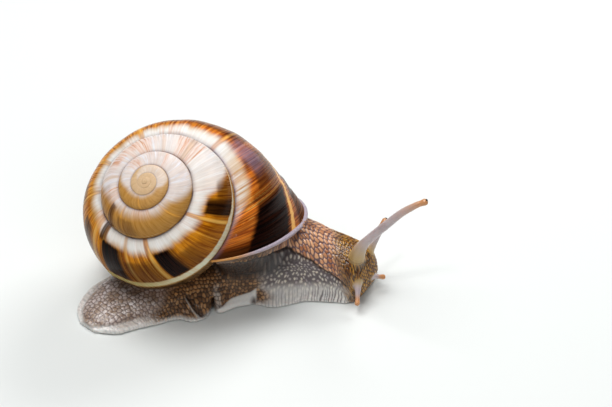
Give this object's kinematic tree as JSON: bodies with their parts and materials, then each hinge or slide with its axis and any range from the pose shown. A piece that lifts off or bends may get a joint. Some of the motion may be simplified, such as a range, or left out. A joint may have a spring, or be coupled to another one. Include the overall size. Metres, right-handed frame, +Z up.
{
  "type": "banded garden snail model",
  "caption": "Still model of a banded garden snail crawling with neck and feelers stretched out and its coiled shell on its back.",
  "frame": {"origin": "middle of the model's box at floor level, under the flat sole", "axes": "+X the way the snail crawls, +Z up; the snail's right side, with the shell's spire, faces -Y"},
  "size_m": [0.076, 0.0422, 0.0367],
  "materials": {
    "shell": "glossy, banded cream, amber and dark brown, with fine growth lines",
    "shell_rim": "satin, pale grey-lilac",
    "mantle_skin": "moist, fine-grained",
    "tail_skin": "moist, fine tubercles",
    "foot_skin": "moist, tubercles turning to upright folds near the rim",
    "neck_skin": "moist, long tubercles in rows with dark grooves",
    "head_skin": "moist, small tubercles",
    "feeler_skin": "moist, smooth, slightly see-through",
    "eye": "glossy black"
  },
  "bodies": {
    "root": {"shell_spire": "shell", "shell_body_whorl": "shell", "shell_lip": "shell_rim", "mantle_collar": "mantle_skin", "stalk": "mantle_skin", "tail": "tail_skin", "foot_rear": "foot_skin", "foot_middle": "foot_skin", "foot_front": "foot_skin", "neck": "neck_skin", "head": "head_skin", "upper_feeler_right_base": "feeler_skin", "upper_feeler_right_shaft": "feeler_skin", "upper_feeler_right_tip": "feeler_skin", "upper_feeler_left_base": "feeler_skin", "upper_feeler_left_tip": "feeler_skin", "lower_feeler_right": "feeler_skin", "lower_feeler_left": "feeler_skin", "eye_right": "eye", "eye_left": "eye"}
  },
  "joints": []
}
